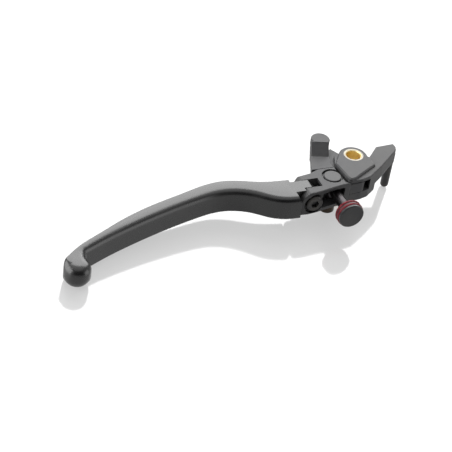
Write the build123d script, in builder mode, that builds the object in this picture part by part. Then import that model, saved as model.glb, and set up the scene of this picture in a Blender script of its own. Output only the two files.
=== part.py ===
"""Adjustable folding clutch lever, built as an assembly of separate pieces.

Frame: origin on the main pivot axis at mid height, +Z up along the pivot, +X towards the
short arm that carries the actuator pin, +Y back towards the handlebar. The blade runs to -X.
All dimensions are in millimetres.
"""

import os
from math import cos, radians, sin

from build123d import *

# ---------------------------------------------------------------- driving dimensions
LINK_HALF = 6.8         # half height of the link and of the blade
PAD_TOP = 8.3           # top of the raised pad round the pivot
PAD_LOW = -7.2          # lower end of the hub
HUB_LOW = -6.6          # underside of the adapter's lower plate
SPACE_LOW = -1.65       # space between the adapter's two plates
SPACE_TOP = 5.15
LUG_LOW = -1.35         # the link's lug in that space
LUG_TOP = 4.85

PIVOT_R = 4.0           # bore for the lever's pivot bolt
BUSH_R = 5.4            # outside of the pivot bush
LINK_BUSH_IN = 5.45     # running fit on the pivot bush
LINK_BUSH_OUT = 6.2
LUG_R = 7.4
LUG_SPACE_R = 7.9
HUB_R = 7.9

BARREL_X = -18.3        # adjuster barrel, a vertical cylinder in the link
BARREL_Y = -13.3
BARREL_R = 5.0
BARREL_BORE_R = 5.05
BARREL_FLANGE_R = 5.4   # rests in the link's counterbore
BARREL_CAP_R = 4.8
RING_R = 5.8            # counterbore, seen as a ring round the barrel's cap
RING_DEPTH = 1.9
STEM_END = -15.0        # barrel's lower stem and its lock nut
NUT_END = -15.7

SCREW_Z = 0.1           # adjuster screw axis, along Y
SCREW_R = 2.95
SCREW_BORE_R = 3.0
THREAD_R = 1.95
KNOB_R = 6.95
KNOB_FRONT = -40.6
KNOB_BACK = -34.9
ORING_CORD_R = 1.05
ORING_R = 6.3           # radius of the cord's centre line
ORING_FRONT_Y = -38.25
ORING_REAR_Y = -36.0

FOLD_X = -32.8          # fold bolt axis, along Y
FOLD_Z = -0.6
ARM_END_R = 8.1         # round upper corner of the fork arms, about the fold axis
ARM_END_X = -40.5
SHOULDER_X = -41.55      # blade shoulders, 1.05 clear of the arms
CHEEK_NEAR = -22.3      # the blade beside the tongue's root, hollowed round the near arm's corner
CHEEK_R = 8.8
SLOT_NEAR = -20.2       # fork slot, near wall and far wall
SLOT_FAR = -13.4
TONGUE_NEAR = -19.9
TONGUE_FAR = -13.7
TONGUE_R = 7.4
NOSE_TILT = 50.0        # slanted nose of the tongue, its normal above the horizontal
NOSE_REACH = 5.3        # the nose's distance from the fold axis
SLOT_R = 8.0            # round end of the fork slot
WEB_X = -27.3           # straight end of the fork slot at the top and bottom faces
FOLD_SHANK_R = 3.0
HEAD_SEAT = 23.4        # bolt head, distances forward of the pivot
HEAD_FACE = 25.8
HEAD_R = 4.6
HEAD_RECESS_R = 6.0
TONGUE_BUSH_IN = 3.04
TONGUE_BUSH_OUT = 4.0
DETENT_R = 1.0
DETENT_X = -38.2
FOLD_MAX = 58.0         # blade folds up until the tongue meets the fork's web

ARM_SLOPE = 8.2 / 11.3  # front edge of the short arm
WEB_END_X = 8.6
TAB_TOP = 6.1           # flat tab beside the pivot, and the raised end of it
TAB_THICK = 4.2
TAB_WIDTH = 9.8
POST_TOP = 11.6
POST_X = -14.2          # round end of the tab
POST_Y = 13.7
POST_R = 5.2
WALL_Y = -5.3           # adapter's wall behind the link, which takes the reach screw's push
PIN_X = 25.1            # actuator pin
PIN_Y = 2.6
PIN_R = 2.3
PIN_END = -18.9
PIN_SHANK_R = 2.5       # thicker shank, pressed into the arm
PIN_SHANK_LOW = -1.6

BALL_X = -171.3
BALL_Y = -50.9
BALL_R = 6.85
BALL_HALF = 7.0
BALL_TOP_ROUND = 3.2
BALL_LOW_ROUND = 5.6

EDGE = 0.5              # machined edge break
BLADE_ROUND = 1.2

# plane along the tab, through its middle, seen from the side: x runs back along the tab, y is up
TAB_PLANE = Plane(origin=(-18.1, 2.6, 0), x_dir=(sin(radians(16)), cos(radians(16)), 0),
                  z_dir=(cos(radians(16)), -sin(radians(16)), 0))

os.makedirs("parts", exist_ok=True)


# ================================================================= adapter (root body)
# ramp of the tab and its raised round end, with an edge break down both sides
with BuildPart() as tab_ramp:
    with BuildSketch(TAB_PLANE):
        with BuildLine():
            Polyline((0.0, TAB_TOP - TAB_THICK), (0.0, TAB_TOP), (2.6, TAB_TOP), (8.4, POST_TOP), (9.2, POST_TOP),
                     (9.2, POST_TOP - TAB_THICK), (4.7, TAB_TOP - TAB_THICK), close=True)
        make_face()
    extrude(amount=TAB_WIDTH / 2, both=True)
    ramp = tab_ramp.faces().filter_by(lambda f: 0.6 < f.normal_at().Z < 0.8)
    chamfer(ramp.edges().filter_by(lambda e: abs(e.tangent_at(0.5).Z) > 0.5), 0.4)
with BuildPart() as tab_end:
    with BuildSketch(Plane.XY.offset(POST_TOP - TAB_THICK)):
        with Locations((POST_X, POST_Y)):
            Circle(POST_R)
        with BuildLine():
            Polyline((-22.5, 12.5), (-6.5, 7.9), (-7.0, 2.0), (-23.0, 4.0), close=True)
        make_face(mode=Mode.SUBTRACT)
    extrude(amount=TAB_THICK)
    chamfer(tab_end.edges().filter_by(GeomType.CIRCLE).group_by(Axis.Z)[-1], 0.4)

with BuildPart() as adapter_body:
    # two plates and the web that joins them, as one block before the lug space is cut
    with BuildSketch(Plane.XY.offset(HUB_LOW)):
        with BuildLine():
            Polyline((-13.0, -4.8), (-11.4, -18.9), (-10.4, -20.3), (-3.0, -19.8), (2.0, -18.4),
                     (WEB_END_X, -18.4 + ARM_SLOPE * (WEB_END_X - 2.0)), (WEB_END_X, -1.2), (0, 3), (-10.0, 3.0),
                     close=True)
        make_face()
        Circle(HUB_R)
    extrude(amount=LINK_HALF - HUB_LOW)
    # short arm for the actuator pin
    with BuildSketch(Plane.XY.offset(-2.6)):
        with BuildLine():
            Polyline((2.0, -18.4), (13.3, -10.2), (24.9, -0.6), (26.9, 1.3), (27.8, 3.6), (27.6, 6.6),
                     (16.8, 5.9), (9.4, -1.6), (4.0, -4.0), close=True)
        make_face()
    extrude(amount=LINK_HALF + 2.6)
    top_edges = adapter_body.edges().filter_by_position(Axis.Z, LINK_HALF - 0.01, LINK_HALF + 0.01)
    chamfer(top_edges.filter_by_position(Axis.Y, -22, -4).filter_by_position(Axis.X, -11.2, 30), EDGE)
    # the arm's underside rises towards its tip
    with BuildSketch(Plane.XZ.offset(-12)):
        with BuildLine():
            Polyline((8.7, -3.0), (30, -3.0), (30, -0.9), (8.7, -2.2), close=True)
        make_face()
    extrude(amount=40, mode=Mode.SUBTRACT)
    # raised pad on top and short round pad underneath
    with BuildSketch(Plane.XY.offset(0)):
        with BuildLine():
            Polyline((-6.4, 4.6), (-12.9, -4.8), (-11.3, -18.3), (-10.6, -19.7), (-9.3, -20.0), (-7.4, -19.5),
                     (8.4, -10.4), (8.4, -3.2), close=True)
        make_face()
        Circle(HUB_R - 0.1)
    extrude(amount=PAD_TOP)
    chamfer(adapter_body.edges().filter_by_position(Axis.Z, PAD_TOP - 0.01, PAD_TOP + 0.01), 0.7)
    with BuildSketch(Plane.XY.offset(PAD_LOW)):
        Circle(HUB_R - 0.1)
    extrude(amount=3)
    # wall behind the link, joined to the hub
    with BuildSketch(Plane.XY.offset(HUB_LOW)):
        with BuildLine():
            Polyline((-5.2, 6.0), (-8.3, 11.4), (-11.6, 9.6), (-12.4, 3.0), (-24.9, -1.0), (-26.9, WALL_Y),
                     (-13.4, WALL_Y), (-6.8, -3.9), close=True)
        make_face()
    extrude(amount=TAB_TOP - 0.9 - HUB_LOW)
    # flat tab on that wall, rising in a ramp to the raised round end
    with BuildSketch(Plane.XY.offset(TAB_TOP - TAB_THICK)):
        with BuildLine():
            Polyline((-26.9, WALL_Y), (-14.2, WALL_Y), (-14.2, -1.0), (-13.2, 1.3), (-11.9, 6.0), (-21.2, 8.4),
                     close=True)
        make_face()
    extrude(amount=TAB_THICK)
    add(tab_ramp.part)
    add(tab_end.part)
    # space for the link's lug, and its sweep
    with BuildSketch(Plane.XY.offset(SPACE_LOW)):
        with BuildLine():
            Polyline((-14.0, WALL_Y + 0.001), (-6.9, -3.85), (0, 0), (6.7, -4.2), (4.3, -8.0), (2.6, -16.0),
                     (2.4, -24.0), (-16.0, -24.0), close=True)
        make_face()
        Circle(LUG_SPACE_R)
    extrude(amount=SPACE_TOP - SPACE_LOW, mode=Mode.SUBTRACT)
    # bore for the pivot bush
    with BuildSketch(Plane.XY.offset(PAD_LOW)):
        Circle(BUSH_R)
    extrude(amount=PAD_TOP - PAD_LOW, mode=Mode.SUBTRACT)
    # seat for the hard button and hole for the actuator pin
    with BuildSketch(Plane.XZ.offset(-WALL_Y)):
        with Locations((BARREL_X + 0.5, SCREW_Z)):
            Circle(3.2)
    extrude(amount=-2.6, mode=Mode.SUBTRACT)
    with BuildSketch(Plane.XY.offset(-3)):
        with Locations((PIN_X, PIN_Y)):
            Circle(PIN_SHANK_R)
    extrude(amount=7.0, mode=Mode.SUBTRACT)
adapter_body.part.label = "adapter_body"
export_step(adapter_body.part, "parts/adapter_body.step")

with BuildPart() as pivot_bush:
    with BuildSketch(Plane.XY.offset(PAD_LOW)):
        Circle(BUSH_R)
        Circle(PIVOT_R, mode=Mode.SUBTRACT)
    extrude(amount=PAD_TOP - PAD_LOW)
    chamfer(pivot_bush.edges().filter_by(GeomType.CIRCLE).group_by(Axis.Z)[-1].sort_by(SortBy.LENGTH)[0], 0.4)
    chamfer(pivot_bush.edges().filter_by(GeomType.CIRCLE).group_by(Axis.Z)[0].sort_by(SortBy.LENGTH)[0], 0.4)
pivot_bush.part.label = "pivot_bush"
export_step(pivot_bush.part, "parts/pivot_bush.step")

for name, z in (("thrust_washer_upper", LUG_TOP + 0.1), ("thrust_washer_lower", SPACE_LOW)):
    with BuildPart() as washer:
        with BuildSketch(Plane.XY.offset(z)):
            Circle(7.2)
            Circle(BUSH_R, mode=Mode.SUBTRACT)
        extrude(amount=SPACE_TOP - LUG_TOP - 0.1)
    washer.part.label = name
    export_step(washer.part, f"parts/{name}.step")

with BuildPart() as abutment_button:
    with BuildSketch(Plane.XZ.offset(-WALL_Y)):
        with Locations((BARREL_X + 0.5, SCREW_Z)):
            Circle(3.2)
    extrude(amount=-2.6)
abutment_button.part.label = "abutment_button"
export_step(abutment_button.part, "parts/abutment_button.step")

with BuildPart() as actuator_pin:
    with BuildSketch(Plane.XY.offset(PIN_END + PIN_R)):
        with Locations((PIN_X, PIN_Y)):
            Circle(PIN_R)
    extrude(amount=PIN_SHANK_LOW - PIN_END - PIN_R)
    with Locations((PIN_X, PIN_Y, PIN_END + PIN_R)):
        Sphere(PIN_R)
    with BuildSketch(Plane.XY.offset(PIN_SHANK_LOW)):
        with Locations((PIN_X, PIN_Y)):
            Circle(PIN_SHANK_R)
    extrude(amount=4.0 - PIN_SHANK_LOW)
actuator_pin.part.label = "actuator_pin"
export_step(actuator_pin.part, "parts/actuator_pin.step")


# ================================================================= link
with BuildPart() as link_body:
    with BuildSketch(Plane.XY.offset(-LINK_HALF)):
        with BuildLine():
            Polyline((-13.9, -5.8), (-24.0, -5.9), (-29.3, -8.2), (-37.7, -9.7), (-39.5, -10.8),
                     (ARM_END_X, -12.2), (ARM_END_X, -25.3), (-36.0, -25.6), (-30.6, -24.9), (-24.2, -23.5),
                     (-18.0, -22.3), (-11.0, -21.3), (-13.1, -19.4), close=True)
        make_face()
    extrude(amount=2 * LINK_HALF)
    chamfer(link_body.edges().filter_by_position(Axis.Z, LINK_HALF - 0.01, LINK_HALF + 0.01), EDGE)
    # round upper corner of both fork arms, about the fold axis
    with BuildSketch(Plane.XZ.offset(0)):
        with Locations((FOLD_X - 5, FOLD_Z + 5)):
            Rectangle(10, 10)
        with Locations((FOLD_X, FOLD_Z)):
            Circle(ARM_END_R, mode=Mode.SUBTRACT)
    extrude(amount=40, mode=Mode.SUBTRACT)
    # thin lug that reaches into the adapter and round the pivot
    with BuildSketch(Plane.XY.offset(LUG_LOW)):
        with BuildLine():
            Polyline((-14.5, -5.8), (-6.3, -4.25), (0, 0), (2, -7.0), (-1.8, -8.0), (-1.8, -19.5),
                     (-3.2, -19.9), (-14.0, -20.9), close=True)
        make_face()
        Circle(LUG_R)
    extrude(amount=LUG_TOP - LUG_LOW)
    with BuildSketch(Plane.XY.offset(LUG_LOW)):
        Circle(LINK_BUSH_OUT)
    extrude(amount=LUG_TOP - LUG_LOW, mode=Mode.SUBTRACT)
    # fork slot for the blade's tongue
    with BuildSketch(Plane.XZ.offset(-SLOT_FAR)):
        with Locations(((WEB_X - 50) / 2, 0)):
            Rectangle(WEB_X + 50, 2 * LINK_HALF + 2)
        with Locations((FOLD_X, FOLD_Z)):
            Circle(SLOT_R)
    extrude(amount=SLOT_FAR - SLOT_NEAR, mode=Mode.SUBTRACT)
    # fold bolt: counterbore, shank and threaded end
    with BuildSketch(Plane.XZ.offset(HEAD_SEAT)):
        with Locations((FOLD_X, FOLD_Z)):
            Circle(HEAD_RECESS_R)
    extrude(amount=5, mode=Mode.SUBTRACT)
    with BuildSketch(Plane.XZ.offset(24)):
        with Locations((FOLD_X, FOLD_Z)):
            Circle(FOLD_SHANK_R)
    extrude(amount=-10, mode=Mode.SUBTRACT)
    with BuildSketch(Plane.XZ.offset(14)):
        with Locations((FOLD_X, FOLD_Z)):
            Circle(2.4)
    extrude(amount=-8, mode=Mode.SUBTRACT)
    # bore for the adjuster barrel, with a ring groove round its head
    with BuildSketch(Plane.XY.offset(-LINK_HALF)):
        with Locations((BARREL_X, BARREL_Y)):
            Circle(BARREL_BORE_R)
    extrude(amount=2 * LINK_HALF, mode=Mode.SUBTRACT)
    with BuildSketch(Plane.XY.offset(LINK_HALF - RING_DEPTH)):
        with Locations((BARREL_X, BARREL_Y)):
            Circle(RING_R)
    extrude(amount=2, mode=Mode.SUBTRACT)
    # open pocket in front of the barrel
    with BuildSketch(Plane.XZ.offset(16.5)):
        with Locations((-21.3, -0.1)):
            RectangleRounded(14.2, 9.6, 1.2)
    extrude(amount=12, mode=Mode.SUBTRACT)
    # window behind the barrel for the reach pusher
    with BuildSketch(Plane.XZ.offset(4)):
        with Locations((BARREL_X + 0.2, SCREW_Z)):
            RectangleRounded(9.0, 7.4, 1.0)
    extrude(amount=7.5, mode=Mode.SUBTRACT)
    # dimples for the fold detent, rest and folded positions
    for turn in (0, FOLD_MAX):
        dx = (DETENT_X - FOLD_X) * cos(radians(turn))
        dz = -(DETENT_X - FOLD_X) * sin(radians(turn))
        for y in (SLOT_NEAR + 0.6, SLOT_FAR - 0.6):
            with Locations((FOLD_X + dx, y, FOLD_Z + dz)):
                Sphere(DETENT_R, mode=Mode.SUBTRACT)
link_body.part.label = "link_body"
export_step(link_body.part, "parts/link_body.step")

with BuildPart() as link_bush:
    with BuildSketch(Plane.XY.offset(LUG_LOW)):
        Circle(LINK_BUSH_OUT)
        Circle(LINK_BUSH_IN, mode=Mode.SUBTRACT)
    extrude(amount=LUG_TOP - LUG_LOW)
link_bush.part.label = "link_bush"
export_step(link_bush.part, "parts/link_bush.step")

with BuildPart() as fold_bolt:
    with BuildSketch(Plane.XZ.offset(HEAD_SEAT)):
        with Locations((FOLD_X, FOLD_Z)):
            Circle(HEAD_R)
    extrude(amount=HEAD_FACE - HEAD_SEAT)
    chamfer(fold_bolt.edges().group_by(Axis.Y)[0], 0.5)
    with BuildSketch(Plane.XZ.offset(HEAD_SEAT)):
        with Locations((FOLD_X, FOLD_Z)):
            Circle(FOLD_SHANK_R)
    extrude(amount=-(HEAD_SEAT - 14.0))
    with BuildSketch(Plane.XZ.offset(14)):
        with Locations((FOLD_X, FOLD_Z)):
            Circle(2.4)
    extrude(amount=-3.4)
    with BuildSketch(Plane.XZ.offset(HEAD_FACE)):
        with Locations((FOLD_X, FOLD_Z)):
            RegularPolygon(2.3, 6)
    extrude(amount=-1.6, mode=Mode.SUBTRACT)
fold_bolt.part.label = "fold_bolt"
export_step(fold_bolt.part, "parts/fold_bolt.step")


# ================================================================= adjuster barrel
with BuildPart() as adjuster_barrel:
    with BuildSketch(Plane.XY.offset(-LINK_HALF)):
        with Locations((BARREL_X, BARREL_Y)):
            Circle(BARREL_R)
    extrude(amount=2 * LINK_HALF - RING_DEPTH)
    with BuildSketch(Plane.XY.offset(LINK_HALF - RING_DEPTH + 0.3)):
        with Locations((BARREL_X, BARREL_Y)):
            Circle(BARREL_FLANGE_R)
    extrude(amount=0.5)
    with BuildSketch(Plane.XY.offset(LINK_HALF - RING_DEPTH)):
        with Locations((BARREL_X, BARREL_Y)):
            Circle(BARREL_CAP_R)
    extrude(amount=RING_DEPTH)
    chamfer(adjuster_barrel.edges().filter_by(GeomType.CIRCLE).group_by(Axis.Z)[-1], 0.35)
    # threaded stem for the lock nut
    with BuildSketch(Plane.XY.offset(STEM_END)):
        with Locations((BARREL_X, BARREL_Y)):
            Circle(2.5)
    extrude(amount=-STEM_END - LINK_HALF)
    # stepped cross hole: screw in front, pusher behind
    with BuildSketch(Plane.XZ.offset(14.0)):
        with Locations((BARREL_X, SCREW_Z)):
            Circle(SCREW_BORE_R)
    extrude(amount=8, mode=Mode.SUBTRACT)
    with BuildSketch(Plane.XZ.offset(12.0)):
        with Locations((BARREL_X, SCREW_Z)):
            Circle(THREAD_R + 0.06)
    extrude(amount=3, mode=Mode.SUBTRACT)
    with BuildSketch(Plane.XZ.offset(5.0)):
        with Locations((BARREL_X, SCREW_Z)):
            Rectangle(5.6, 5.6)
    extrude(amount=7.6, mode=Mode.SUBTRACT)
adjuster_barrel.part.label = "adjuster_barrel"
export_step(adjuster_barrel.part, "parts/adjuster_barrel.step")

with BuildPart() as barrel_washer:
    with BuildSketch(Plane.XY.offset(-LINK_HALF - 1.0)):
        with Locations((BARREL_X, BARREL_Y)):
            Circle(5.6)
            Circle(2.5, mode=Mode.SUBTRACT)
    extrude(amount=0.7)
barrel_washer.part.label = "barrel_washer"
export_step(barrel_washer.part, "parts/barrel_washer.step")

with BuildPart() as barrel_lock_nut:
    with BuildSketch(Plane.XY.offset(NUT_END)):
        with Locations((BARREL_X, BARREL_Y)):
            Circle(4.2)
    extrude(amount=-NUT_END - LINK_HALF - 1.0)
    chamfer(barrel_lock_nut.edges().group_by(Axis.Z)[0], 0.6)
    with BuildSketch(Plane.XY.offset(STEM_END)):
        with Locations((BARREL_X, BARREL_Y)):
            Circle(2.5)
    extrude(amount=10, mode=Mode.SUBTRACT)
barrel_lock_nut.part.label = "barrel_lock_nut"
export_step(barrel_lock_nut.part, "parts/barrel_lock_nut.step")


# ================================================================= knob and screw
with BuildPart() as adjuster_screw:
    with BuildSketch(Plane.XZ.offset(14.1)):
        with Locations((BARREL_X, SCREW_Z)):
            Circle(SCREW_R)
    extrude(amount=-KNOB_FRONT - 1.4 - 14.1)
    with BuildSketch(Plane.XZ.offset(8.2)):
        with Locations((BARREL_X, SCREW_Z)):
            Circle(THREAD_R)
    extrude(amount=5.9)
    # groove for the circlip
    with BuildSketch(Plane.XZ.offset(18.7)):
        with Locations((BARREL_X, SCREW_Z)):
            Circle(SCREW_R)
            Circle(SCREW_R - 0.5, mode=Mode.SUBTRACT)
    extrude(amount=0.7, mode=Mode.SUBTRACT)
adjuster_screw.part.label = "adjuster_screw"
export_step(adjuster_screw.part, "parts/adjuster_screw.step")

with BuildPart() as screw_circlip:
    with BuildSketch(Plane.XZ.offset(18.7)):
        with Locations((BARREL_X, SCREW_Z)):
            Circle(3.9)
            Circle(SCREW_R - 0.5, mode=Mode.SUBTRACT)
        with Locations((BARREL_X, SCREW_Z - 3.4)):
            Rectangle(1.8, 3.0, mode=Mode.SUBTRACT)
    extrude(amount=0.7)
screw_circlip.part.label = "screw_circlip"
export_step(screw_circlip.part, "parts/screw_circlip.step")

with BuildPart() as adjuster_knob:
    with BuildSketch(Plane.XZ.offset(-KNOB_BACK)):
        with Locations((BARREL_X, SCREW_Z)):
            Circle(KNOB_R)
    extrude(amount=KNOB_BACK - KNOB_FRONT)
    chamfer(adjuster_knob.edges().filter_by(GeomType.CIRCLE), 0.45)
    # two half-round grooves for the rings
    for y in (ORING_FRONT_Y, ORING_REAR_Y):
        with Locations(Location((BARREL_X, y, SCREW_Z), (90, 0, 0))):
            Torus(ORING_R, ORING_CORD_R, mode=Mode.SUBTRACT)
    with BuildSketch(Plane.XZ.offset(20)):
        with Locations((BARREL_X, SCREW_Z)):
            Circle(SCREW_R)
    extrude(amount=-KNOB_FRONT - 1.4 - 20, mode=Mode.SUBTRACT)
adjuster_knob.part.label = "adjuster_knob"
export_step(adjuster_knob.part, "parts/adjuster_knob.step")

for name, y in (("o_ring_front", ORING_FRONT_Y), ("o_ring_rear", ORING_REAR_Y)):
    with BuildPart() as o_ring:
        with Locations(Location((BARREL_X, y, SCREW_Z), (90, 0, 0))):
            Torus(ORING_R, ORING_CORD_R)
    o_ring.part.label = name
    export_step(o_ring.part, f"parts/{name}.step")


# ================================================================= reach pusher
with BuildPart() as reach_pusher:
    with BuildSketch(Plane.XZ.offset(6.5)):
        with Locations((BARREL_X, SCREW_Z)):
            Rectangle(5.5, 5.5)
    extrude(amount=5.1)
    # domed tip, 0.15 clear of the hard button at rest
    with Locations((BARREL_X, WALL_Y - 0.15 - 2.5, SCREW_Z)):
        Sphere(2.5)
    with BuildSketch(Plane.XZ.offset(7.6)):
        with Locations((BARREL_X, SCREW_Z)):
            Circle(THREAD_R + 0.05)
    extrude(amount=6, mode=Mode.SUBTRACT)
reach_pusher.part.label = "reach_pusher"
export_step(reach_pusher.part, "parts/reach_pusher.step")


# ================================================================= blade
with BuildPart() as lever_blade:
    with BuildSketch(Plane.XY.offset(-LINK_HALF)):
        with BuildLine():
            back = Spline((SHOULDER_X, -10.9), (-50.0, -10.5), (-59.0, -9.2), (-69.0, -6.2), (-79.0, -4.5),
                          (-91.0, -6.2), (-104.0, -10.3), (-116.5, -14.2), (-141.5, -24.5),
                          (-154.0, -31.3), (-166.5, -38.3), (-175.2, -44.8))
            front = Spline((SHOULDER_X, -28.1), (-49.0, -27.6), (-57.8, -24.2), (-64.0, -19.7), (-72.0, -15.7),
                           (-82.5, -14.2), (-94.5, -16.3), (-113.0, -21.7), (-137.5, -30.5),
                           (-150.0, -35.7), (-165.3, -43.2))
            Line((SHOULDER_X, -10.9), (SHOULDER_X, -28.1))
            Polyline(back @ 1, (-176.0, -47.0), (-168.0, -47.6), front @ 1)
        make_face()
    extrude(amount=2 * LINK_HALF)
    for level in (-1, 0):
        fillet(lever_blade.edges().group_by(Axis.Z)[level].sort_by(SortBy.LENGTH)[-2:], BLADE_ROUND)
    # round knuckle at the free end
    with BuildSketch(Plane(origin=(BALL_X, BALL_Y, 0), x_dir=(1, 0, 0), z_dir=(0, -1, 0))) as half_section:
        with Locations((BALL_R / 2, 0)):
            Rectangle(BALL_R, 2 * BALL_HALF)
        outer = half_section.vertices().group_by(Axis.X)[-1].sort_by(Axis.Z)
        fillet(outer[0], BALL_LOW_ROUND)
        fillet(half_section.vertices().group_by(Axis.Z)[-1].sort_by(Axis.X)[-1], BALL_TOP_ROUND)
    revolve(axis=Axis((BALL_X, BALL_Y, 0), (0, 0, 1)))
    # tongue between the fork arms
    with BuildSketch(Plane.XZ.offset(-TONGUE_FAR)):
        with Locations(((FOLD_X + SHOULDER_X - 2) / 2, 0)):
            Rectangle(FOLD_X - SHOULDER_X + 2, 2 * LINK_HALF)
        with Locations((FOLD_X, FOLD_Z)):
            Circle(TONGUE_R)
        with Locations((FOLD_X, -LINK_HALF - 5)):
            Rectangle(30, 10, mode=Mode.SUBTRACT)
    extrude(amount=TONGUE_FAR - TONGUE_NEAR)
    # slanted nose, so that the slot stays open on top
    with BuildSketch(Plane.XZ.offset(-TONGUE_FAR)):
        with Locations(Location((FOLD_X, FOLD_Z), NOSE_TILT)):
            with Locations((NOSE_REACH + 2.5, 0)):
                Rectangle(5.0, 16.0)
        with Locations((FOLD_X - 10.0 + 9.0 * cos(radians(NOSE_TILT)), 0)):
            Rectangle(12.0, 30.0, mode=Mode.SUBTRACT)
    extrude(amount=TONGUE_FAR - TONGUE_NEAR, mode=Mode.SUBTRACT)
    # the shoulders' top corners slope away from the fork arms
    for near, far in ((-27.0, CHEEK_NEAR), (TONGUE_FAR, -10.0)):
        with BuildSketch(Plane.XZ.offset(-far)):
            with BuildLine():
                Polyline((SHOULDER_X + 0.5, 1.3), (SHOULDER_X + 0.5, 7.5), (SHOULDER_X - 2.2, 7.5), close=True)
            make_face()
        extrude(amount=far - near, mode=Mode.SUBTRACT)
    with BuildSketch(Plane.XZ.offset(-TONGUE_NEAR - 0.1)):
        with BuildLine():
            Polyline((SHOULDER_X - 1, 1.3), (-36.0, 1.3), (-36.0, LINK_HALF), (SHOULDER_X - 1, LINK_HALF), close=True)
        make_face()
        with Locations((FOLD_X, FOLD_Z)):
            Circle(CHEEK_R, mode=Mode.SUBTRACT)
    extrude(amount=TONGUE_NEAR + 0.1 - CHEEK_NEAR)
    with BuildSketch(Plane.XZ.offset(10)):
        with Locations((FOLD_X, FOLD_Z)):
            Circle(TONGUE_BUSH_OUT)
    extrude(amount=16, mode=Mode.SUBTRACT)
    with BuildSketch(Plane.XZ.offset(10)):
        with Locations((DETENT_X, FOLD_Z)):
            Circle(DETENT_R)
    extrude(amount=16, mode=Mode.SUBTRACT)
lever_blade.part.label = "lever_blade"
export_step(lever_blade.part, "parts/lever_blade.step")

with BuildPart() as tongue_bush:
    with BuildSketch(Plane.XZ.offset(-TONGUE_FAR)):
        with Locations((FOLD_X, FOLD_Z)):
            Circle(TONGUE_BUSH_OUT)
            Circle(TONGUE_BUSH_IN, mode=Mode.SUBTRACT)
    extrude(amount=TONGUE_FAR - TONGUE_NEAR)
tongue_bush.part.label = "tongue_bush"
export_step(tongue_bush.part, "parts/tongue_bush.step")

for name, y in (
        ("detent_ball_near", TONGUE_NEAR + DETENT_R - 0.15), ("detent_ball_far", TONGUE_FAR - DETENT_R + 0.15)):
    with BuildPart() as ball:
        with Locations((DETENT_X, y, FOLD_Z)):
            Sphere(DETENT_R)
    ball.part.label = name
    export_step(ball.part, f"parts/{name}.step")

# small coil between the two balls
COIL_R = 0.7
COIL_WIRE_R = 0.14
COIL_LENGTH = 2.1
with BuildPart() as detent_spring:
    with BuildLine():
        coil = Helix(pitch=0.6, height=COIL_LENGTH, radius=COIL_R, direction=(0, 1, 0),
                     center=(DETENT_X, (TONGUE_NEAR + TONGUE_FAR - COIL_LENGTH) / 2, FOLD_Z))
    with BuildSketch(Plane(origin=coil @ 0, z_dir=coil % 0)):
        Circle(COIL_WIRE_R)
    sweep(is_frenet=True)
detent_spring.part.label = "detent_spring"
export_step(detent_spring.part, "parts/detent_spring.step")
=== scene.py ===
"""Looks of the adjustable folding clutch lever: a satin black blade with rounded edges, anodised head
parts, a bronze pivot bush, bright screw, red rings on the knob, and a plain white studio round them."""

from math import acos, asin, cos, pi, radians, sin

import bpy
import numpy as np
from mathutils import Matrix, Vector


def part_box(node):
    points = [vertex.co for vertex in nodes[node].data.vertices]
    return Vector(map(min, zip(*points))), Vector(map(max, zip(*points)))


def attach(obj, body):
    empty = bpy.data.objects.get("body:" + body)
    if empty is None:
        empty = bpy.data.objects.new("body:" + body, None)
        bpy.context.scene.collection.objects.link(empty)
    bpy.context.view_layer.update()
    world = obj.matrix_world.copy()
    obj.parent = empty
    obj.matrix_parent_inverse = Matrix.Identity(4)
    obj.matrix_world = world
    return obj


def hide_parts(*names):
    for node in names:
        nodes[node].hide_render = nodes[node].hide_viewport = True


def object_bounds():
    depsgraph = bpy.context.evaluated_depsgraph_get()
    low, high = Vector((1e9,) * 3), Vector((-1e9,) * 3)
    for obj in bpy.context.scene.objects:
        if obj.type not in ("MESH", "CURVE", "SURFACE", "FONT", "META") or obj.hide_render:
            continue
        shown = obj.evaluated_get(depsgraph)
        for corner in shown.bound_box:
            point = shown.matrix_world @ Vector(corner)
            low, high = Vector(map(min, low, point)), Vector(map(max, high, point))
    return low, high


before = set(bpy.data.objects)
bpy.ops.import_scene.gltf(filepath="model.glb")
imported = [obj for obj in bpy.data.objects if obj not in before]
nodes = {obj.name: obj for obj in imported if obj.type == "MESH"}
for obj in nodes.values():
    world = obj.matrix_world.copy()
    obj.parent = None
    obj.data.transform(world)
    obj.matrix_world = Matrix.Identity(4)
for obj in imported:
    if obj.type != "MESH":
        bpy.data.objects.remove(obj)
cad_low, cad_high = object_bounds()

MM = 0.001


# ---------------------------------------------------------------- the view
VIEW_AZIMUTH = radians(-27)
VIEW_ELEVATION = radians(38)
VIEW_ROLL = radians(9)
SENSOR_WIDTH = 36           # millimetres, as the focal length is
VIEW_FOCAL = 127.43
CLIP_START = 0.01           # metres
CAMERA_PLACE = Vector((-378.33, -605.84, 502.31)) * MM
# from the lever towards the camera
VIEW_BACK = Vector((sin(VIEW_AZIMUTH) * cos(VIEW_ELEVATION), -cos(VIEW_AZIMUTH) * cos(VIEW_ELEVATION),
                    sin(VIEW_ELEVATION)))


def make_camera():
    """A long lens in front of the lever, a little to its left and well above it, rolled a few degrees."""
    across = Vector((cos(VIEW_AZIMUTH), sin(VIEW_AZIMUTH), 0))
    up = VIEW_BACK.cross(across)
    right = cos(VIEW_ROLL) * across + sin(VIEW_ROLL) * up
    above = cos(VIEW_ROLL) * up - sin(VIEW_ROLL) * across
    data = bpy.data.cameras.new("camera")
    data.sensor_width = SENSOR_WIDTH
    data.lens = VIEW_FOCAL
    data.clip_start = CLIP_START
    camera = bpy.data.objects.new("camera", data)
    bpy.context.scene.collection.objects.link(camera)
    turned_to_view = Matrix((right, above, VIEW_BACK)).transposed().to_4x4()
    camera.matrix_world = Matrix.Translation(CAMERA_PLACE) @ turned_to_view
    bpy.context.scene.camera = camera


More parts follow.
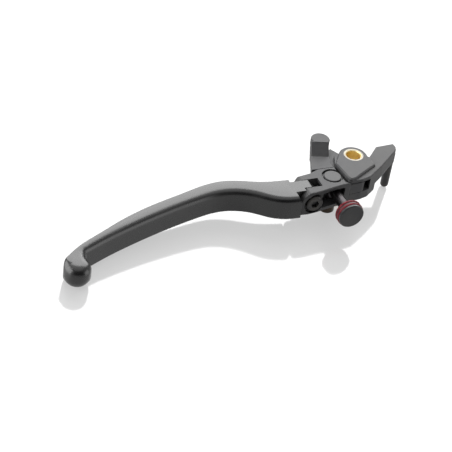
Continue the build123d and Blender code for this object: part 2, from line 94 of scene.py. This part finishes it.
# ---------------------------------------------------------------- materials
ALONG, UP = 1, 2            # the axes that turned pieces were turned about: Y and Z


class Nodes:
    """Short way to build a node tree: each call adds a node, sets its inputs and returns it."""

    def __init__(self, tree):
        self.tree = tree

    def add(self, kind, inputs=None, **settings):
        node = self.tree.nodes.new(kind)
        for key, value in settings.items():
            setattr(node, key, value)
        for key, value in (inputs or {}).items():
            if isinstance(value, bpy.types.NodeSocket):
                self.tree.links.new(value, node.inputs[key])
            else:
                node.inputs[key].default_value = value
        return node

    def maths(self, operation, first, second=0.0):
        return self.add("ShaderNodeMath", {0: first, 1: second}, operation=operation).outputs[0]

    def span(self, value, low, high, to_low=0.0, to_high=1.0):
        """Carries low..high smoothly to to_low..to_high, and holds the ends outside it."""
        return self.add("ShaderNodeMapRange", {"Value": value, "From Min": low, "From Max": high,
                                               "To Min": to_low, "To Max": to_high},
                        interpolation_type="SMOOTHSTEP").outputs["Result"]

    def spread(self, noise, to_low=0.0, to_high=1.0):
        """Carries the middle of a noise's values, where nearly all lie, to to_low..to_high."""
        return self.span(noise, 0.3, 0.7, to_low, to_high)

    def noise(self, where, scale, detail=3.0, roughness=0.55):
        return self.add("ShaderNodeTexNoise", {"Vector": where, "Scale": scale, "Detail": detail,
                                               "Roughness": roughness}).outputs["Fac"]

    def blend(self, amount, first, second):
        return self.add("ShaderNodeMix", {"Factor": amount, "A": first, "B": second},
                        data_type="RGBA").outputs["Result"]

    def normal(self):
        return self.add("ShaderNodeNewGeometry").outputs["Normal"]

    def soft_edges(self, radius):
        """Rounds the look of the finest edges, which a cutter's edge break leaves."""
        return self.add("ShaderNodeBevel", {"Radius": radius}, samples=6).outputs["Normal"]

    def bump(self, height, distance, under=None):
        inputs = {"Height": height, "Distance": distance, "Strength": 1.0}
        if under is not None:
            inputs["Normal"] = under
        return self.add("ShaderNodeBump", inputs).outputs["Normal"]


def new_material(name, colour, roughness, metallic, ior=1.5, glow=0.0):
    """A Principled material with its constants set on the shader's own sockets."""
    material = bpy.data.materials.new(name)
    material.use_nodes = True
    tree = material.node_tree
    shader = tree.nodes["Principled BSDF"]
    shader.inputs["Base Color"].default_value = (*colour, 1)
    shader.inputs["Roughness"].default_value = roughness
    shader.inputs["Metallic"].default_value = metallic
    shader.inputs["IOR"].default_value = ior
    if glow:
        shader.inputs["Emission Color"].default_value = (1, 1, 1, 1)
        shader.inputs["Emission Strength"].default_value = glow
    made = Nodes(tree)
    where = made.add("ShaderNodeTexCoord").outputs["Object"]
    return material, made, shader, where


def drive(made, shader, **outputs):
    """Links node outputs to the shader's sockets; Base_Color stands for Base Color."""
    for socket, output in outputs.items():
        made.tree.links.new(output, shader.inputs[socket.replace("_", " ")])


def anodised(name, tone, rough, ior, grain, edge):
    """Satin black anodised aluminium: fine blasted grain and slow patches of sheen. The edges are smoother and
    painted darker, a painted reflection of the dark room they face, with a few rubbed spots of real wear."""
    material, made, shader, where = new_material(name, (tone, tone, tone * 1.02), rough, 0.0, ior)
    patches = made.noise(where, scale=55)
    fine = made.noise(where, scale=1500, detail=4, roughness=0.6)
    blasted = made.noise(where, scale=5200, detail=2, roughness=0.5)
    worn_spots = made.noise(where, scale=420, detail=4, roughness=0.65)
    rounded = made.soft_edges(edge)
    turn = made.add("ShaderNodeVectorMath", {0: rounded, 1: made.normal()}, operation="DOT_PRODUCT")
    ridge = made.span(turn.outputs["Value"], 0.998, 0.965)
    rubbed = made.maths("MULTIPLY", ridge, made.span(worn_spots, 0.55, 0.75, 0.0, 0.3))
    dark = (tone * 0.8, tone * 0.8, tone * 0.86, 1)
    light = (tone * 1.35, tone * 1.34, tone * 1.33, 1)
    # painted dark reflection: the near-black colour the edges take, standing in for the dark room they mirror
    painted_dark_edge = (tone * 0.12, tone * 0.12, tone * 0.12, 1)
    bare = (0.07 + tone, 0.07 + tone, 0.072 + tone, 1)
    colour = made.blend(made.spread(patches), dark, light)
    # painted dark reflection: the edges are blended towards the near-black colour
    colour = made.blend(made.maths("MULTIPLY", ridge, 0.8), colour, painted_dark_edge)
    sheen = made.spread(patches, rough - 0.035, rough + 0.045)
    sheen = made.maths("ADD", sheen, made.spread(fine, -0.02, 0.03))
    sheen = made.maths("SUBTRACT", sheen, made.maths("MULTIPLY", ridge, max(rough - 0.3, 0.0)))
    height = made.maths("ADD", made.maths("MULTIPLY", fine, 0.55), made.maths("MULTIPLY", blasted, 0.45))
    drive(made, shader, Base_Color=made.blend(rubbed, colour, bare), Roughness=sheen,
          Normal=made.bump(height, grain, rounded))
    return material


def turned(name, colour, dull, axis, centre, rough=0.24, stain=(0.3, 0.2, 0.1), faced=None):
    """Bare turned metal: fine rings round an axis through the centre, a few duller patches and stains. The end
    faces may have their own colour."""
    pitch, depth, edge = 0.16 * MM, 0.003 * MM, 0.1 * MM
    material, made, shader, where = new_material(name, colour, rough, 1.0)
    shifted = made.add("ShaderNodeVectorMath", {0: where, 1: centre}, operation="SUBTRACT").outputs[0]
    parts = made.add("ShaderNodeSeparateXYZ", {0: shifted}).outputs
    squares = [made.maths("MULTIPLY", parts[i], parts[i]) for i in range(3) if i != axis]
    radius = made.maths("SQRT", made.maths("ADD", *squares))
    run = made.maths("ADD", radius, parts[axis])
    rings = made.maths("SINE", made.maths("MULTIPLY", run, 2 * pi / pitch))
    coarse = made.noise(where, scale=700)
    patches = made.noise(where, scale=160, detail=4, roughness=0.6)
    tint = made.blend(made.span(patches, 0.35, 0.7), (*colour, 1), (*dull, 1))
    tint = made.blend(made.span(coarse, 0.62, 0.8, 0.0, 0.35), tint, (*stain, 1))
    if faced:
        end = made.add("ShaderNodeSeparateXYZ", {0: made.normal()}).outputs[axis]
        tint = made.blend(made.span(made.maths("ABSOLUTE", end), 0.8, 0.95), tint, (*faced, 1))
    sheen = made.spread(patches, rough - 0.05, rough + 0.1)
    sheen = made.maths("ADD", sheen, made.maths("MULTIPLY", rings, 0.03))
    height = made.maths("ADD", made.maths("MULTIPLY", rings, 0.5), made.maths("MULTIPLY", coarse, 0.8))
    drive(made, shader, Base_Color=tint, Roughness=sheen,
          Normal=made.bump(height, depth, made.soft_edges(edge)))
    return material


def oxide_steel(name):
    """Blackened steel of the bolt and the pin: darker than the anodised parts, with a faint brown cast."""
    material, made, shader, where = new_material(name, (0.03, 0.03, 0.03), 0.36, 0.55)
    patches = made.noise(where, scale=240, detail=4, roughness=0.6)
    fine = made.noise(where, scale=3000)
    colour = made.blend(made.span(patches, 0.35, 0.7), (0.035, 0.035, 0.037, 1), (0.07, 0.066, 0.06, 1))
    drive(made, shader, Base_Color=colour, Roughness=made.spread(patches, 0.3, 0.44),
          Normal=made.bump(fine, 0.004 * MM, made.soft_edges(0.15 * MM)))
    return material


def red_rubber(name):
    """Moulded rubber of the knob's rings: deep red, a soft gloss, a little dust in scattered spots."""
    material, made, shader, where = new_material(name, (0.2, 0.008, 0.018), 0.5, 0.0, 1.3)
    patches = made.noise(where, scale=500)
    dust = made.noise(where, scale=2600, detail=4, roughness=0.7)
    colour = made.blend(made.spread(patches), (0.09, 0.003, 0.008, 1), (0.13, 0.006, 0.012, 1))
    colour = made.blend(made.span(dust, 0.64, 0.8, 0.0, 0.25), colour, (0.2, 0.08, 0.08, 1))
    drive(made, shader, Base_Color=colour, Roughness=made.spread(patches, 0.36, 0.5),
          Normal=made.bump(dust, 0.005 * MM))
    return material


def moulded(name):
    """Dark moulded polymer of the thrust washers."""
    material, made, shader, where = new_material(name, (0.05, 0.05, 0.05), 0.5, 0.0)
    fine = made.noise(where, scale=1800)
    colour = made.blend(fine, (0.04, 0.04, 0.042, 1), (0.075, 0.073, 0.07, 1))
    drive(made, shader, Base_Color=colour, Roughness=made.spread(fine, 0.42, 0.58),
          Normal=made.bump(fine, 0.006 * MM))
    return material


def finish(material, *names):
    """Puts one material on CAD pieces."""
    for name in names:
        data = nodes[name].data
        data.materials.clear()
        data.materials.append(material)


def middle(name):
    low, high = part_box(name)
    return (low + high) / 2


def paint_nodes():
    """Gives each CAD piece that is shown as it is its own material."""
    finish(anodised("anodised_black", tone=0.045, rough=0.58, ior=1.45, grain=0.006 * MM, edge=0.45 * MM),
           "adapter_body", "link_body")
    finish(anodised("anodised_turned", tone=0.03, rough=0.32, ior=1.38, grain=0.004 * MM, edge=0.1 * MM),
           "adjuster_knob", "adjuster_barrel")

    bush_centre = middle("pivot_bush")
    gold, gold_dull, brown = (0.76, 0.6, 0.32), (0.64, 0.45, 0.18), (0.36, 0.2, 0.07)
    finish(turned("bush_bronze", (0.95, 0.8, 0.42), (0.85, 0.66, 0.3), UP, bush_centre,
                  rough=0.42, stain=brown, faced=(0.22, 0.205, 0.175)),
           "pivot_bush")
    finish(turned("link_bush_bronze", gold, gold_dull, UP, bush_centre, stain=brown),
           "link_bush")
    finish(turned("tongue_bush_bronze", gold, gold_dull, ALONG, middle("tongue_bush"), stain=brown),
           "tongue_bush")
    finish(turned("nut_brass", (0.065, 0.05, 0.036), (0.035, 0.028, 0.022), UP, middle("barrel_lock_nut"),
                  stain=brown),
           "barrel_lock_nut")

    bright, grey = (0.062, 0.058, 0.06), (0.024, 0.022, 0.023)
    finish(turned("screw_steel", bright, grey, ALONG, middle("adjuster_screw"),
                  rough=0.36, stain=(0.08, 0.07, 0.07)),
           "adjuster_screw", "screw_circlip", "reach_pusher", "abutment_button")
    finish(turned("washer_steel", bright, grey, UP, middle("barrel_washer"),
                  rough=0.3, stain=(0.1, 0.09, 0.09)),
           "barrel_washer", "detent_ball_near", "detent_ball_far", "detent_spring")

    for name in ("fold_bolt", "actuator_pin"):
        finish(oxide_steel("oxide_" + name), name)
    finish(red_rubber("ring_rubber"), "o_ring_front", "o_ring_rear")
    finish(moulded("washer_polymer"), "thrust_washer_upper", "thrust_washer_lower")


# ---------------------------------------------------------------- blade
# Places and sizes are in millimetres from here to the end of make_blade.
HALF = 6.8                  # half height of the blade
SHOULDER_X = -41.55         # flat faces beside the fork arms
SLOPE_Z, SLOPE = 2.45, 0.435    # above this height the shoulders slope away from the arms
SLOPE_RUN = 5               # this far along the blade the slope has died out
CHEEK_NEAR, CHEEK_R = -22.3, 8.8    # cheek beside the tongue's root, hollowed round the near arm's corner
CHEEK_Z, CHEEK_LAP = 1.3, 0.5       # the cheek's lower face, and how far it reaches into the tongue

BACK_LINE = [(SHOULDER_X, -10.9), (-50.0, -10.5), (-59.0, -9.2), (-69.0, -6.2), (-79.0, -4.5),
             (-91.0, -6.2), (-104.0, -10.3), (-116.5, -14.2), (-141.5, -24.5), (-154.0, -31.3),
             (-166.5, -38.3)]
FRONT_LINE = [(-163.6, -42.3), (-150.0, -35.7), (-137.5, -30.5), (-113.0, -21.7), (-94.5, -16.3),
              (-82.5, -14.2), (-72.0, -15.7), (-64.0, -19.7), (-57.8, -24.2), (-49.0, -27.6),
              (SHOULDER_X, -28.1)]
OUTLINE_STEP = 0.6          # between two points of the outline

KNUCKLE = (-171.3, -50.9)
KNUCKLE_R = 6.83
KNUCKLE_BACK = radians(131)     # where the back line runs on to the knuckle's round
KNUCKLE_NECK = radians(375)     # where the round runs into the hollow of the neck
NECK_POINTS = 16
# how far the neck's curve keeps the heading of the knuckle, and of the front line
NECK_LEAVE, NECK_ARRIVE = 3.2, 2.6

# radii of the rounded edges; the upper and the lower edge have the same one along the back
BACK_ROUND = 1.1
FRONT_ROUND, FRONT_SWELL = 3.3, 0.3    # upper edge at the front: at the shoulder, and what it gains
FRONT_SWELL_RUN = (4, 40)              # between these distances from the shoulder
FLAT_LEFT = 0.5                        # least width between the front's round and the back's
KNUCKLE_ROUND, NECK_ROUND = 4.9, 3.4   # upper edge round the knuckle, and at the neck's far end
KNUCKLE_UNDER = 5.3                    # what the lower edge gains round the knuckle
KNUCKLE_UNDER_LOSS = 3.4               # and what it loses again towards the neck
NECK_UNDER, NECK_UNDER_LOSS = 2.6, 1.5     # lower edge at the neck's start, and what it loses along it
KNUCKLE_GROWN = radians(185)           # from the back line to here the knuckle's rounds grow
KNUCKLE_FADES = radians(305)           # and from here the lower one shrinks
ROUND_POINTS = 9                       # points over each rounded edge

TONGUE_NEAR, TONGUE_FAR = -19.9, -13.7
TONGUE_R = 7.4              # round below, about the fold axis
TONGUE_POINTS, CHEEK_POINTS = 18, 9     # points over the tongue's round and the cheek's hollow
ROOTED = 3                  # how deep the tongue starts inside the blade; the cheek starts a little deeper
NOSE_TILT, NOSE_REACH = radians(50), 5.3    # the slanted flat: its direction and distance from the fold axis
FOLD_X, FOLD_Z = -32.8, -0.6
BUSH_HOLE_R = 4.0
DETENT_X, DETENT_HOLE_R = -38.2, 1.0
HOLE_SIDES, HOLE_SPARE = 64, 2      # corners of a hole's tool, and how far it stands out of the tongue
SMOOTH_BELOW = radians(28)  # edges that turn more than this stay sharp


def smooth(low, high, value):
    """0 at low, 1 at high, level at both; high may be the smaller one."""
    t = min(max((value - low) / (high - low), 0.0), 1.0)
    return t * t * (3 - 2 * t)


def spline_through(points, spacing):
    """Natural cubic curve through the points, sampled at an even spacing."""
    p = np.array(points, float)
    t = np.concatenate([[0], np.cumsum(np.linalg.norm(np.diff(p, axis=0), axis=1))])
    gaps = np.diff(t)
    count = len(p)
    rows = np.eye(count)
    sides = np.zeros((count, 2))
    for i in range(1, count - 1):
        rows[i, i - 1:i + 2] = gaps[i - 1], 2 * (gaps[i - 1] + gaps[i]), gaps[i]
        sides[i] = 6 * ((p[i + 1] - p[i]) / gaps[i] - (p[i] - p[i - 1]) / gaps[i - 1])
    bend = np.linalg.solve(rows, sides)
    s = np.linspace(0, t[-1], int(round(t[-1] / spacing)) + 1)
    i = np.clip(np.searchsorted(t, s, side="right") - 1, 0, count - 2)
    before, after, gap = (t[i + 1] - s)[:, None], (s - t[i])[:, None], gaps[i][:, None]
    return ((bend[i] * before ** 3 + bend[i + 1] * after ** 3) / (6 * gap)
            + (p[i] / gap - bend[i] * gap / 6) * before + (p[i + 1] / gap - bend[i + 1] * gap / 6) * after)


def bezier(a, b, c, d, count):
    t = np.linspace(0, 1, count)[:, None]
    a, b, c, d = (np.array(v, float) for v in (a, b, c, d))
    return a * (1 - t) ** 3 + 3 * b * t * (1 - t) ** 2 + 3 * c * t * t * (1 - t) + d * t ** 3


def on_knuckle(angle):
    return np.array([KNUCKLE[0] + KNUCKLE_R * cos(angle), KNUCKLE[1] + KNUCKLE_R * sin(angle)])


def blade_outline():
    """Plan outline, anticlockwise from the back shoulder: its points, and the side that each one lies on.
    A side is "back", "front", ("ball", angle) or ("neck", share of the way to the front line)."""
    back = spline_through(BACK_LINE + [tuple(on_knuckle(KNUCKLE_BACK))], OUTLINE_STEP)
    turn_count = int((KNUCKLE_NECK - KNUCKLE_BACK) * KNUCKLE_R / OUTLINE_STEP)
    turns = np.linspace(KNUCKLE_BACK, KNUCKLE_NECK, turn_count)
    ball = np.array([on_knuckle(a) for a in turns])
    front = spline_through(FRONT_LINE, OUTLINE_STEP)
    leave, arrive = ball[-1], front[0]
    heading = np.array([-sin(KNUCKLE_NECK), cos(KNUCKLE_NECK)])
    ahead = (front[1] - front[0]) / np.linalg.norm(front[1] - front[0])
    neck = bezier(leave, leave + NECK_LEAVE * heading, arrive - NECK_ARRIVE * ahead, arrive, NECK_POINTS)
    points = np.vstack([back[:-1], ball[:-1], neck[:-1], front])
    sides = ["back"] * (len(back) - 1) + [("ball", a) for a in turns[:-1]]
    sides += [("neck", k / (len(neck) - 1)) for k in range(len(neck) - 1)] + ["front"] * len(front)
    return points, sides


def edge_rounds(point, side, width):
    """Radius of the upper and of the lower edge at a point of the outline, where the blade is that wide."""
    if side == "back":
        return BACK_ROUND, BACK_ROUND
    if side == "front":
        room = width - BACK_ROUND - FLAT_LEFT
        upper = FRONT_ROUND + FRONT_SWELL * smooth(*FRONT_SWELL_RUN, SHOULDER_X - point[0])
        return min(upper, room), min(BACK_ROUND, room)
    kind, place = side
    if kind == "neck":
        upper = NECK_ROUND + (KNUCKLE_ROUND - NECK_ROUND) * (1 - place)
        return upper, NECK_UNDER - NECK_UNDER_LOSS * place
    grown = smooth(KNUCKLE_BACK, KNUCKLE_GROWN, place)
    faded = 1 - smooth(KNUCKLE_NECK, KNUCKLE_FADES, place)
    upper = BACK_ROUND + (KNUCKLE_ROUND - BACK_ROUND) * grown
    return upper, BACK_ROUND + KNUCKLE_UNDER * grown - KNUCKLE_UNDER_LOSS * faded


def new_object(name, vertices, faces):
    mesh = bpy.data.meshes.new(name)
    mesh.from_pydata([Vector(v) * MM for v in vertices], [], faces)
    made = bpy.data.objects.new(name, mesh)
    bpy.context.scene.collection.objects.link(made)
    return made


def blade_form():
    """The outline carried down the blade's height with a round upper and lower edge; flat top and bottom."""
    points, sides = blade_outline()
    run = np.gradient(points, axis=0)
    run /= np.linalg.norm(run, axis=1)[:, None]
    inward = np.column_stack([-run[:, 1], run[:, 0]])
    inward[0], inward[-1] = (0, -1), (0, 1)
    back = points[[side == "back" for side in sides]]
    rising, falling = np.linspace(0, pi / 2, ROUND_POINTS), np.linspace(pi / 2, 0, ROUND_POINTS)
    rings = []
    for point, side, inner in zip(points, sides, inward):
        upper, lower = edge_rounds(point, side, np.linalg.norm(back - point, axis=1).min())
        column = [(upper * (1 - sin(a)), HALF - upper * (1 - cos(a))) for a in rising]
        column += [(lower * (1 - sin(a)), -HALF + lower * (1 - cos(a))) for a in falling]
        ring = []
        for inset, z in column:
            x, y = point + inner * inset
            slope = max(z - SLOPE_Z, 0) * SLOPE * (1 - smooth(0, SLOPE_RUN, SHOULDER_X - x))
            ring.append((x - slope, y, z))
        rings.append(ring)
    depth, count = len(rings[0]), len(rings)
    faces = [(i * depth + k, i * depth + k + 1, (i + 1) * depth + k + 1, (i + 1) * depth + k)
             for i in range(count - 1) for k in range(depth - 1)]
    top = tuple(i * depth for i in range(count))
    bottom = tuple(i * depth + depth - 1 for i in reversed(range(count)))
    shoulder = tuple(range(depth - 1, -1, -1)) + tuple((count - 1) * depth + k for k in range(depth))
    return new_object("blade_form", [v for ring in rings for v in ring], faces + [top, bottom, shoulder])


def across_prism(name, profile, near, far):
    """Solid with a profile in X and Z, anticlockwise seen from the front, between two places along Y."""
    count = len(profile)
    vertices = [(x, near, z) for x, z in profile] + [(x, far, z) for x, z in profile]
    faces = [tuple(range(count)), tuple(range(2 * count - 1, count - 1, -1))]
    faces += [(i, i + count, (i + 1) % count + count, (i + 1) % count) for i in range(count)]
    return new_object(name, vertices, faces)


def tongue_form():
    """Tongue between the fork arms: flat on top, a slanted nose, round below."""
    root_x = SHOULDER_X - ROOTED
    low_turn = -asin((HALF + FOLD_Z) / TONGUE_R)
    high_turn = NOSE_TILT - acos(NOSE_REACH / TONGUE_R)
    profile = [(root_x, -HALF)]
    profile += [(FOLD_X + TONGUE_R * cos(a), FOLD_Z + TONGUE_R * sin(a))
                for a in np.linspace(low_turn, high_turn, TONGUE_POINTS)]
    top_x = FOLD_X + (NOSE_REACH - (HALF - FOLD_Z) * sin(NOSE_TILT)) / cos(NOSE_TILT)
    profile += [(top_x, HALF), (root_x, HALF)]
    return across_prism("tongue_form", profile, TONGUE_NEAR, TONGUE_FAR)


def cheek_form():
    """Fills the blade's shoulder up beside the tongue, as far as the near arm's round corner lets it fold."""
    root_x = SHOULDER_X - ROOTED - 1
    low_turn, high_turn = acos((FOLD_X - SHOULDER_X) / CHEEK_R), asin((HALF - FOLD_Z) / CHEEK_R)
    profile = [(root_x, CHEEK_Z), (SHOULDER_X, CHEEK_Z)]
    profile += [(FOLD_X - CHEEK_R * cos(a), FOLD_Z + CHEEK_R * sin(a))
                for a in np.linspace(low_turn, high_turn, CHEEK_POINTS)]
    profile += [(root_x, HALF)]
    return across_prism("cheek_form", profile, CHEEK_NEAR, TONGUE_NEAR + CHEEK_LAP)


def round_tool(x, radius):
    """Rod across the tongue at the fold axis's height, to cut a hole with."""
    turns = np.linspace(0, 2 * pi, HOLE_SIDES, endpoint=False)
    profile = [(x + radius * cos(a), FOLD_Z + radius * sin(a)) for a in turns]
    return across_prism("round_tool", profile, TONGUE_NEAR - HOLE_SPARE, TONGUE_FAR + HOLE_SPARE)


def merge(target, tool, operation):
    """Boolean of two solids, applied at once; the tool is removed."""
    modifier = target.modifiers.new("merge", "BOOLEAN")
    modifier.object = tool
    modifier.operation = operation
    modifier.solver = "EXACT"
    view = bpy.context.evaluated_depsgraph_get()
    mesh = bpy.data.meshes.new_from_object(target.evaluated_get(view))
    target.modifiers.clear()
    target.data = mesh
    bpy.data.objects.remove(tool)


def make_blade():
    """Builds the blade that stands in for the CAD blade."""
    blade = blade_form()
    blade.name = "blade_forging"
    merge(blade, tongue_form(), "UNION")
    merge(blade, cheek_form(), "UNION")
    merge(blade, round_tool(FOLD_X, BUSH_HOLE_R), "DIFFERENCE")
    merge(blade, round_tool(DETENT_X, DETENT_HOLE_R), "DIFFERENCE")
    mesh = blade.data
    mesh.shade_smooth()
    mesh.set_sharp_from_angle(angle=SMOOTH_BELOW)
    mesh.materials.clear()
    mesh.materials.append(anodised("anodised_blade", tone=0.009, rough=0.27, ior=1.58, grain=0.003 * MM,
                                   edge=0.2 * MM))
    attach(blade, "blade")
    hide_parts("lever_blade")


# ---------------------------------------------------------------- studio
FLOOR_HALF = 8.0            # metres
FLOOR_GAP = 0.1 * MM        # between the floor and the two points that the lever rests on

# name: direction from the lever, distance, width, height (metres) and radiance
SOFTBOXES = {
    "back_softbox": ((-VIEW_BACK.x, -VIEW_BACK.y, VIEW_BACK.z), 1.3, 1.9, 1.3, 4.1),
    "left_softbox": ((-0.97, 0.15, 0.3), 1.1, 1.2, 1.1, 4.4),
    "right_softbox": ((0.84, -0.52, 0.14), 1.2, 0.8, 0.6, 1.7),
}


def make_floor():
    """Glossy white sheet that the lever lies on, through the knuckle's lowest point and the pin's end."""
    blade_low, blade_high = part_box("lever_blade")
    pin_low, pin_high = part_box("actuator_pin")
    knuckle_x = blade_low.x + KNUCKLE_R * MM
    slope = (pin_low.z - blade_low.z) / ((pin_low.x + pin_high.x) / 2 - knuckle_x)
    level = blade_low.z - slope * knuckle_x - FLOOR_GAP
    corners = [(FLOOR_HALF * x, FLOOR_HALF * y) for x, y in ((-1, -1), (1, -1), (1, 1), (-1, 1))]
    mesh = bpy.data.meshes.new("floor")
    mesh.from_pydata([(x, y, level + slope * x) for x, y in corners], [], [(0, 1, 2, 3)])
    floor = bpy.data.objects.new("floor", mesh)
    bpy.context.scene.collection.objects.link(floor)
    material, made, shader, where = new_material("floor_acrylic", (0.15, 0.15, 0.15), 0.09, 0.0, 1.7,
                                                 glow=0.5)
    haze = made.noise(where, scale=6, detail=2)
    drive(made, shader, Base_Color=made.blend(haze, (0.145, 0.145, 0.145, 1), (0.155, 0.155, 0.155, 1)))
    mesh.materials.append(material)


def softbox(name, direction, distance, width, height, radiance):
    """Rectangular soft light facing the lever; its power follows from the radiance and the area."""
    data = bpy.data.lights.new(name, "AREA")
    data.shape = "RECTANGLE"
    data.size = width
    data.size_y = height
    data.energy = radiance * pi * width * height
    light = bpy.data.objects.new(name, data)
    bpy.context.scene.collection.objects.link(light)
    away = Vector(direction).normalized()
    light.location = (cad_low + cad_high) / 2 + away * distance
    light.rotation_euler = away.to_track_quat("Z", "Y").to_euler()
    light.visible_camera = False


def make_world():
    """Dim room: darkest low on the camera's side, brighter behind the lever and overhead. It is white where
    the camera looks past the floor."""
    world = bpy.data.worlds.new("room")
    bpy.context.scene.world = world
    world.use_nodes = True
    tree = world.node_tree
    made = Nodes(tree)
    where = made.add("ShaderNodeTexCoord").outputs["Generated"]
    front = (sin(VIEW_AZIMUTH), -cos(VIEW_AZIMUTH), 0)
    toward = made.add("ShaderNodeVectorMath", {0: where, 1: front}, operation="DOT_PRODUCT").outputs["Value"]
    height = made.add("ShaderNodeSeparateXYZ", {0: where}).outputs[2]
    level = made.maths("ADD", made.span(toward, -0.2, 0.75, 0.55, 0.02),
                       made.span(height, 0.68, 0.9, 0.0, 0.8))
    room = tree.nodes["Background"]
    tree.links.new(level, room.inputs["Strength"])
    room.inputs["Color"].default_value = (1, 1, 1, 1)
    white = made.add("ShaderNodeBackground", {"Color": (1, 1, 1, 1), "Strength": 1.0})
    seen = made.add("ShaderNodeLightPath").outputs["Is Camera Ray"]
    both = made.add("ShaderNodeMixShader", {0: seen, 1: room.outputs[0], 2: white.outputs[0]})
    tree.links.new(both.outputs[0], tree.nodes["World Output"].inputs["Surface"])


def make_studio():
    make_floor()
    make_world()
    for name, settings in SOFTBOXES.items():
        softbox(name, *settings)
    bpy.context.scene.view_settings.view_transform = "Standard"


make_camera()
paint_nodes()
make_blade()
make_studio()
